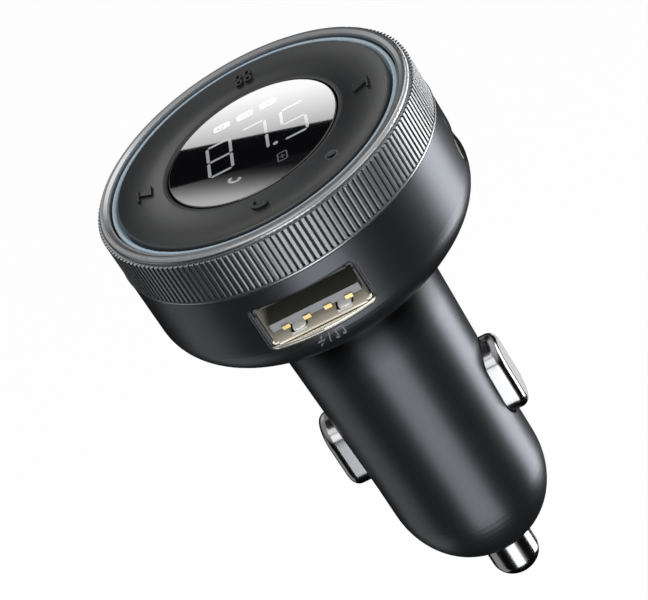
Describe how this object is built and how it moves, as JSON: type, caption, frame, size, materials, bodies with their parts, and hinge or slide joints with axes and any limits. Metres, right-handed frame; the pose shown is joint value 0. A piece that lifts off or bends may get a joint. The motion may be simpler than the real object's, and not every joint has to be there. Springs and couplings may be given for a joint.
{
  "type": "car fm transmitter",
  "caption": "Car FM transmitter: a round control head with a display, key ring and USB ports, on a tapered plug with sprung contacts for the vehicle power socket.",
  "frame": {"origin": "on the plug's axis, at the middle of the cylindrical band that sits in the vehicle's power socket", "axes": "+Z along the plug towards the round head, +X towards the next-track key, -Y towards the phone key and the front USB port"},
  "size_m": [0.043, 0.043, 0.0754],
  "materials": {
    "shell_paint": "satin metallic anthracite",
    "knurl_metal": "dark nickel anodised, polished rim",
    "key_plastic": "fine matte",
    "lens_glass": "high gloss black",
    "light_guide": "frosted, lit from below",
    "frame_plastic": "matte",
    "board": "black solder mask",
    "black_part": "matte",
    "tongue_plastic": "matte",
    "tin_steel": "bright plated",
    "spring_steel": "satin",
    "contact_chrome": "polished",
    "gold": "gold plated",
    "brass": "satin",
    "white_part": "matte",
    "ferrite": "matte",
    "can": "satin"
  },
  "bodies": {
    "housing": {"barrel_shell": "shell_paint", "barrel_clip": "spring_steel", "head_housing": "shell_paint", "knurled_ring": "knurl_metal", "light_ring": "light_guide", "face_frame": "frame_plastic", "display_lens": "lens_glass", "display_module": "black_part", "control_board": "board", "key_domes": "spring_steel", "microphone": "can", "ring_leds": "white_part", "face_screws": "tin_steel", "main_board": "board", "board_screws": "tin_steel", "radio_chip": "black_part", "power_chips": "black_part", "stack_header": "black_part", "usb_front_shell": "tin_steel", "usb_front_tongue": "tongue_plastic", "usb_front_pins": "gold", "usb_side_shell": "tin_steel", "usb_side_tongue": "black_part", "usb_side_pins": "gold", "power_board": "board", "board_plug": "white_part", "inductor": "ferrite", "capacitors": "can", "regulator": "black_part", "spring_cup": "brass", "tip_spring": "spring_steel", "side_spring_left": "spring_steel", "side_spring_right": "spring_steel"},
    "gimbal": {"key_spring": "spring_steel"},
    "key_ring": {"key_ring": "key_plastic"},
    "tip": {"centre_contact": "contact_chrome"},
    "contact_left": {"side_contact_left": "contact_chrome"},
    "contact_right": {"side_contact_right": "contact_chrome"}
  },
  "joints": [
    {"name": "key_tilt_y", "type": "hinge", "parent": "housing", "child": "gimbal", "pos_m": [0, 0, 0.05245], "axis": [0, 1, 0], "range_deg": [-1, 1], "stiffness_Nm_per_rad": 1.2, "deforming": ["key_domes"]},
    {"name": "key_tilt_x", "type": "hinge", "parent": "gimbal", "child": "key_ring", "pos_m": [0, 0, 0.05245], "axis": [1, 0, 0], "range_deg": [-1, 1], "stiffness_Nm_per_rad": 1.2, "deforming": ["key_domes"]},
    {"name": "tip_slide", "type": "slide", "parent": "housing", "child": "tip", "axis": [0, 0, 1], "range_m": [0, 0.004], "stiffness_N_per_m": 1200, "deforming": ["tip_spring"]},
    {"name": "contact_left_slide", "type": "slide", "parent": "housing", "child": "contact_left", "axis": [1, 0, 0], "range_m": [0, 0.002], "stiffness_N_per_m": 1500, "deforming": ["side_spring_left"]},
    {"name": "contact_right_slide", "type": "slide", "parent": "housing", "child": "contact_right", "axis": [-1, 0, 0], "range_m": [0, 0.002], "stiffness_N_per_m": 1500, "deforming": ["side_spring_right"]}
  ]
}
